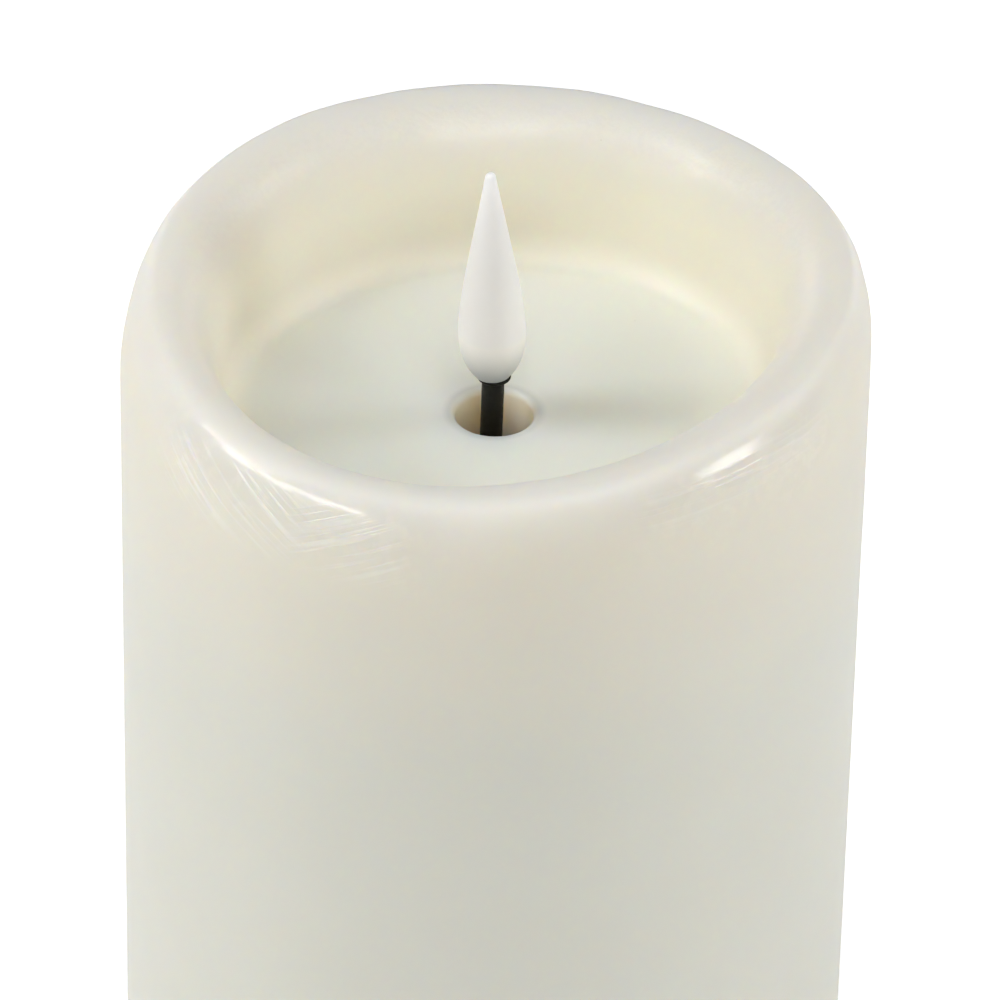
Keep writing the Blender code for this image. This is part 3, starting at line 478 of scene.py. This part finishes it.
def wax_material():
    """Ivory paraffin: translucent, satin on the wall and glossier where it was melted, with painted
    sheen whitening the crown and the smears and painted light lightening the recess.
    """
    paint = Painter("wax")
    marks = {name: paint.node("Attribute", {}, attribute_name=name).outputs["Fac"]
             for name in ("crown", "outer", "inner", "bore")}
    wrap = paint.node("UVMap", {}, uv_map="wrap").outputs["UV"]
    around, outward, _ = paint.part_of(wrap)
    quarter = pi / 2 * CANDLE_R * MM            # the wrap's length of a quarter turn

    # Colour: clouds in the wax, painted sheen whitening the crown, painted light making the recess
    # lighter and warmer, a tan bore and specks of dust
    ivory = mottled(paint, (0.80, 0.78, 0.685), 22, 0.022)
    # Painted sheen: the crown, where the rim faces up, is painted whiter and less yellow, in patches
    patchy = paint.ramp(paint.noise(12, 2), 0.2, 0.8, 0.7, 1.0)
    painted_crown_sheen = paint.product(paint.ramp(marks["crown"], 0.3, 0.97), patchy)
    colour = paint.mix(painted_crown_sheen, ivory, (0.80, 0.785, 0.745))
    # Painted light: the recess walls are painted lighter and warmer than the outer wall
    warm = paint.product(marks["inner"], paint.ramp(marks["crown"], 0.85, 0.3))
    colour = paint.mix(paint.math("MULTIPLY", warm, 0.8), colour, (0.855, 0.84, 0.74))
    # Painted light: the recess floor is painted lighter still
    floor = paint.ramp(paint.part_of(paint.at)[2], (FLOOR_Z + 5) * MM, FLOOR_Z * MM)
    colour = paint.mix(paint.product(marks["inner"], floor), colour, (0.93, 0.895, 0.785))
    colour = paint.mix(marks["bore"], colour, (0.88, 0.78, 0.64))
    distance, random = paint.cells(7.0)
    chosen = paint.ramp(paint.part_of(random)[0], 0.62, 0.64)
    speck = paint.product(paint.ramp(distance, 0.016, 0.010), chosen)
    dusted = paint.mix(paint.math("MULTIPLY", speck, 0.30), colour, (0.42, 0.38, 0.30))

    # Smears left by the hot tool: one fan runs down to the right, one down to the left, and
    # the front right has fine lines along the rim.  They are painted whiter than the wax, a painted
    # highlight.
    def band(centre, half, fade):
        """1 near a place round the candle; all three are in quarter turns from the back."""
        offset = paint.math("ABSOLUTE", paint.math("SUBTRACT", around, centre * quarter))
        return paint.ramp(offset, (half + fade) * quarter, half * quarter)

    def lines(slope, across, seed):
        """Fine raised lines that run along the rim and down it by slope."""
        skewed = paint.math("MULTIPLY_ADD", around, -slope, outward)
        place = paint.node("CombineXYZ", {0: around, 1: skewed, 2: seed}).outputs[0]
        drawn = paint.noise(across, 2, at=paint.stretched(place, (0.05, 1.0, 1.0)))
        return paint.ramp(drawn, 0.47, 0.64)

    below_crown = paint.product(paint.ramp(outward, 0.0036, 0.0055),
                                paint.ramp(outward, 0.015, 0.010))
    fan_right = paint.product(band(1.50, 0.10, 0.10), below_crown, lines(0.45, 0.9, 1.0))
    fan_left = paint.product(band(1.75, 0.06, 0.07), below_crown, lines(-0.42, 0.8, 2.0), 0.8)
    grain = paint.product(band(2.46, 0.12, 0.14), paint.ramp(outward, 0.011, 0.006),
                          paint.ramp(outward, 0.0026, 0.0050), lines(0.06, 0.6, 3.0), 0.5)
    smears = paint.math("ADD", paint.math("ADD", fan_right, fan_left), grain)
    # Painted highlight: the smears' lines are painted whiter, as where they catch the light; their
    # relief is the bump further down
    painted_smear_highlight = paint.math("MULTIPLY", smears, 0.6)
    paint.set("Base Color", paint.mix(painted_smear_highlight, dusted, (0.90, 0.885, 0.85)))

    # The zone that the tool wiped at the front left ends in a low, ragged ledge
    ragged = paint.math("MULTIPLY_ADD", paint.noise(7, 3), 0.005, outward)
    left_zone = band(1.62, 0.22, 0.14)
    ledge = paint.product(left_zone, paint.ramp(ragged, 0.0170, 0.0162))

    # Gloss: satin wax, glossier where it was wiped, along the back's inner edge and in the bore
    edge = paint.product(marks["inner"], paint.ramp(marks["crown"], 0.66, 0.84),
                         paint.ramp(marks["crown"], 1.0, 0.93))
    back = paint.ramp(paint.part_of(paint.at)[1], -0.01, 0.03)
    wiped = paint.math("MAXIMUM", left_zone, band(2.46, 0.12, 0.16))
    wiped = paint.product(wiped, paint.ramp(outward, 0.0016, 0.0036),
                          paint.ramp(ragged, 0.018, 0.010), marks["outer"],
                          paint.ramp(paint.noise(2.4, 4), 0.34, 0.52, 0.25, 1.0))
    sparse = paint.ramp(paint.noise(0.9, 3), 0.44, 0.58)
    gloss = paint.math("MAXIMUM", wiped, paint.product(edge, back, sparse, 0.3))
    gloss = paint.math("MAXIMUM", gloss, paint.ramp(marks["bore"], 0.02, 0.3, 0.0, 0.5))
    paint.set("Roughness", paint.ramp(paint.noise(9, 2), 0.3, 0.7, 0.42, 0.48))
    paint.set("Coat Weight", gloss)
    paint.set("Coat Roughness", 0.13)

    # Surface: orange peel everywhere, sugar-like grain on the back's inner edge, the ledge and
    # the smears
    normal = paint.bump(paint.noise(1.6, 3), 0.012)
    normal = paint.bump(paint.product(paint.noise(0.6, 4), edge, back), 0.025, normal)
    normal = paint.bump(ledge, 0.04, normal)
    normal = paint.bump(smears, 0.05, normal)
    paint.set("Normal", normal)
    paint.set("Coat Normal", normal)

    paint.set("Subsurface Weight", 1.0)
    paint.set("Subsurface Radius", (1.0, 0.8, 0.5))
    paint.set("Subsurface Scale", 0.013)
    return paint.material


def flame_material():
    """Frosted plastic, painted dark bluish grey round its foot as painted shade from the dark socket
    inside.

    The faint emission stands for the light that the real diffuser gathers from all sides.
    """
    paint = Painter("frosted_flame")
    height = paint.part_of(paint.at)[2]
    # Painted shade: the foot is painted dark bluish grey, and glows less, for the dark socket showing
    # through the frosted plastic
    foot = paint.ramp(height, (FLAME_LOW.z + 8.5) * MM, (FLAME_LOW.z - 0.5) * MM)
    body = mottled(paint, (0.97, 0.955, 0.92), 4, 0.01)
    paint.set("Base Color", paint.mix(foot, body, (0.35, 0.39, 0.42)))
    paint.set("Roughness", paint.ramp(paint.noise(1.2, 4), 0.3, 0.7, 0.44, 0.54))
    paint.set("Normal", paint.bump(paint.noise(0.25, 2), 0.004))
    paint.set("Subsurface Weight", 1.0)
    paint.set("Subsurface Radius", (1.0, 0.95, 0.9))
    paint.set("Subsurface Scale", 0.0025)
    paint.set("Emission Color", paint.mix(foot, (1.0, 0.93, 0.82), (0.3, 0.3, 0.3)))
    paint.set("Emission Strength", 0.095)
    return paint.material


def wick_material():
    """Dull black shrink sleeve with fine lengthwise wrinkles."""
    paint = Painter("black_sleeve")
    paint.set("Base Color", mottled(paint, (0.0075, 0.0075, 0.006), 0.8, 0.35))
    paint.set("Specular IOR Level", 0.22)
    paint.set("Roughness", paint.ramp(paint.noise(0.6, 4), 0.3, 0.7, 0.42, 0.62))
    wrinkles = paint.noise(0.35, 3, at=paint.stretched(paint.at, (1.0, 1.0, 0.12)))
    paint.set("Normal", paint.bump(wrinkles, 0.03))
    return paint.material


def plastic(name, colour, roughness, grain, depth):
    """Moulded plastic with a fine eroded grain, and faint flow marks in its colour."""
    paint = Painter(name)
    paint.set("Base Color", mottled(paint, colour, 9, 0.03))
    gloss = paint.ramp(paint.noise(4, 5), 0.3, 0.7, roughness - 0.05, roughness + 0.06)
    paint.set("Roughness", gloss)
    normal = paint.bump(paint.noise(14, 2), 0.03)
    paint.set("Normal", paint.bump(paint.noise(grain, 3, roughness=0.6), depth, normal))
    return paint.material


def metal(name, colour, roughness, streak):
    """Plated or rolled metal: fine streaks one way, and clouds in tone and gloss."""
    paint = Painter(name)
    paint.set("Base Color", mottled(paint, colour, 1.5, 0.06))
    paint.set("Metallic", 1.0)
    gloss = paint.ramp(paint.noise(0.8, 5), 0.3, 0.7, roughness - 0.07, roughness + 0.09)
    paint.set("Roughness", gloss)
    drawn = paint.noise(0.12, 3, at=paint.stretched(paint.at, streak))
    paint.set("Normal", paint.bump(drawn, 0.004))
    return paint.material


def foam_material():
    """Closed-cell foam: small pits, painted darker at their bottoms as painted shade."""
    colour = (0.62, 0.61, 0.57)
    paint = Painter("foot_foam")
    distance, _ = paint.cells(0.42)
    pits = paint.ramp(distance, 0.1, 0.6)
    # Painted shade: the bottoms of the pits are painted darker
    paint.set("Base Color", paint.mix(pits, tint(colour, 0.78), mottled(paint, colour, 3, 0.03)))
    paint.set("Roughness", paint.ramp(paint.noise(1, 3), 0.3, 0.7, 0.78, 0.92))
    paint.set("Normal", paint.bump(pits, 0.06))
    return paint.material


def cell_material():
    """Blue shrink sleeve with a pale grey band at its top, and steel end faces."""
    paint = Painter("cell_sleeve")
    height, top, foot = paint.part_of(paint.at)[2], CELL_HIGH.z, CELL_LOW.z
    band = paint.ramp(height, (top - 14.5) * MM, (top - 14.2) * MM)
    sleeve = paint.mix(band, mottled(paint, (0.04, 0.10, 0.28), 6, 0.05), (0.42, 0.43, 0.44))
    end = paint.math("MAXIMUM", paint.ramp(height, (top - 1.7) * MM, (top - 1.5) * MM),
                     paint.ramp(height, (foot + 0.8) * MM, (foot + 0.6) * MM))
    paint.set("Base Color", paint.mix(end, sleeve, (0.55, 0.55, 0.54)))
    paint.set("Metallic", end)
    paint.set("Roughness", paint.ramp(paint.noise(3, 4), 0.3, 0.7, 0.24, 0.36))
    paint.set("Normal", paint.bump(paint.noise(5, 3), 0.03))
    paint.set("Coat Weight", 0.3)
    return paint.material


def board_material():
    """Green solder mask over copper tracks, which show as lighter raised lines."""
    paint = Painter("solder_mask")
    grid = paint.cells(2.6, "DISTANCE_TO_EDGE")[0]
    track = paint.ramp(grid, 0.10, 0.06)
    mask = mottled(paint, (0.018, 0.13, 0.045), 4, 0.08)
    paint.set("Base Color", paint.mix(track, mask, (0.035, 0.21, 0.07)))
    paint.set("Roughness", paint.ramp(paint.noise(1.5, 4), 0.3, 0.7, 0.3, 0.42))
    paint.set("Normal", paint.bump(track, 0.03))
    paint.set("Coat Weight", 0.4)
    return paint.material


def wire_material(name, colour):
    """Soft PVC insulation."""
    paint = Painter(name)
    paint.set("Base Color", mottled(paint, colour, 2, 0.06))
    paint.set("Roughness", paint.ramp(paint.noise(1, 4), 0.3, 0.7, 0.34, 0.48))
    paint.set("Normal", paint.bump(paint.noise(0.9, 3), 0.02))
    return paint.material


def lens_material():
    """Clear epoxy over a warm phosphor."""
    paint = Painter("diode_lens")
    paint.set("Base Color", mottled(paint, (0.80, 0.72, 0.48), 1.2, 0.06))
    paint.set("Roughness", paint.ramp(paint.noise(0.6, 3), 0.3, 0.7, 0.08, 0.16))
    paint.set("Normal", paint.bump(paint.noise(1.0, 2), 0.01))
    paint.set("Transmission Weight", 0.35)
    return paint.material


def finish_cad(materials):
    """Gives each CAD node its slot's material, and softened edges to the nodes listed in BEVELS."""
    for subpart in frame["record"]["subparts"]:
        name, slot = subpart["node"], subpart["material_slot"]
        node = frame["nodes"][name]
        for place in node.material_slots:
            place.material = materials[slot]
        if name in BEVELS:
            weld = node.modifiers.new("weld", "WELD")
            weld.merge_threshold = WELD_GAP * MM
            bevel = node.modifiers.new("soft_edges", "BEVEL")
            bevel.width = BEVELS[name] * MM
            bevel.segments = 2
            bevel.limit_method = "ANGLE"
            bevel.angle_limit = radians(40)
            bevel.harden_normals = True


# ---------------------------------------------------------------- studio

def softbox(name, azimuth, elevation, size, power):
    """A soft lamp one metre from the candle's upper half, and aimed at it."""
    data = bpy.data.lights.new(name, "AREA")
    data.shape = "RECTANGLE"
    data.size, data.size_y = size
    data.energy = power
    lamp = bpy.data.objects.new(name, data)
    bpy.context.scene.collection.objects.link(lamp)
    turn, rise = radians(azimuth), radians(elevation)
    lamp.location = LAMP_AIM + Vector((sin(turn) * cos(rise), -cos(turn) * cos(rise), sin(rise)))
    lamp.rotation_euler = (LAMP_AIM - lamp.location).to_track_quat("-Z", "Y").to_euler()
    lamp.visible_camera = False


def studio():
    """The lamps, the surround and the floor."""
    scene = bpy.context.scene
    scene.view_settings.view_transform = "Standard"
    for settings in SOFTBOXES:
        softbox(*settings)

    # A white surround that only the camera sees
    world = bpy.data.worlds.new("surround")
    scene.world = world
    world.use_nodes = True
    sky = world.node_tree.nodes["Background"]
    sky.inputs["Color"].default_value = (1, 1, 1, 1)
    path = world.node_tree.nodes.new("ShaderNodeLightPath")
    world.node_tree.links.new(path.outputs["Is Camera Ray"], sky.inputs["Strength"])

    # The floor is bright paper from above and open from below, so the underside can be seen and lit
    mesh = bpy.data.meshes.new("floor")
    corners = [(x * FLOOR_HALF, y * FLOOR_HALF, 0) for x, y in ((-1, -1), (1, -1), (1, 1), (-1, 1))]
    mesh.from_pydata(corners, [], [(0, 1, 2, 3)])
    ground = bpy.data.objects.new("floor", mesh)
    scene.collection.objects.link(ground)
    ground.location.z = -0.1 * MM
    paper = Painter("floor_paper")
    paper.set("Base Color", (0.9, 0.9, 0.9, 1))
    paper.set("Roughness", 0.9)
    path = paper.node("LightPath", {}).outputs
    glow = paper.math("MULTIPLY_ADD", path["Is Camera Ray"], 0.28, 0.25)
    paper.set("Emission Color", (1, 1, 1, 1))
    paper.set("Emission Strength", glow)
    seen_from_below = paper.node("NewGeometry", {}).outputs["Backfacing"]
    open_side = paper.math("MAXIMUM", seen_from_below, path["Is Shadow Ray"])
    clear = paper.node("BsdfTransparent", {}).outputs[0]
    both = paper.node("MixShader", {0: open_side, 1: paper.shader.outputs[0], 2: clear}).outputs[0]
    paper.feed(paper.tree.nodes["Material Output"].inputs["Surface"], both)
    mesh.materials.append(paper.material)


def camera():
    """The camera, turned a little about its own line of sight."""
    data = bpy.data.cameras.new("camera")
    data.lens = CAMERA_LENS
    holder = bpy.data.objects.new("camera", data)
    bpy.context.scene.collection.objects.link(holder)
    holder.location = CAMERA_AT
    look = (CAMERA_AIM - CAMERA_AT).to_track_quat("-Z", "Y")
    holder.rotation_euler = (look @ Quaternion((0, 0, 1), CAMERA_ROLL)).to_euler()
    bpy.context.scene.camera = holder


MATERIALS = {
    "wax": wax_material(),
    "flame_diffuser": flame_material(),
    "wick_sleeve": wick_material(),
    "cream_plastic": plastic("cream_plastic", (0.66, 0.62, 0.50), 0.48, 0.35, 0.02),
    "white_plastic": plastic("white_plastic", (0.70, 0.70, 0.68), 0.42, 0.6, 0.008),
    "dark_plastic": plastic("dark_plastic", (0.03, 0.03, 0.032), 0.45, 0.3, 0.015),
    "steel": metal("zinc_steel", (0.56, 0.56, 0.55), 0.30, (1.0, 1.0, 0.1)),
    "contact_brass": metal("contact_brass", (0.62, 0.46, 0.22), 0.32, (0.1, 1.0, 1.0)),
    "foot_foam": foam_material(),
    "cell_sleeve": cell_material(),
    "board": board_material(),
    "red_wire": wire_material("red_wire", (0.45, 0.02, 0.02)),
    "black_wire": wire_material("black_wire", (0.012, 0.012, 0.010)),
    "yellow_wire": wire_material("yellow_wire", (0.60, 0.42, 0.04)),
    "diode_lens": lens_material(),
}

camera()
studio()
finish_cad(MATERIALS)
wax_body(MATERIALS["wax"])
flame(MATERIALS["flame_diffuser"])
wick(MATERIALS["wick_sleeve"])
cup(MATERIALS["wick_sleeve"])
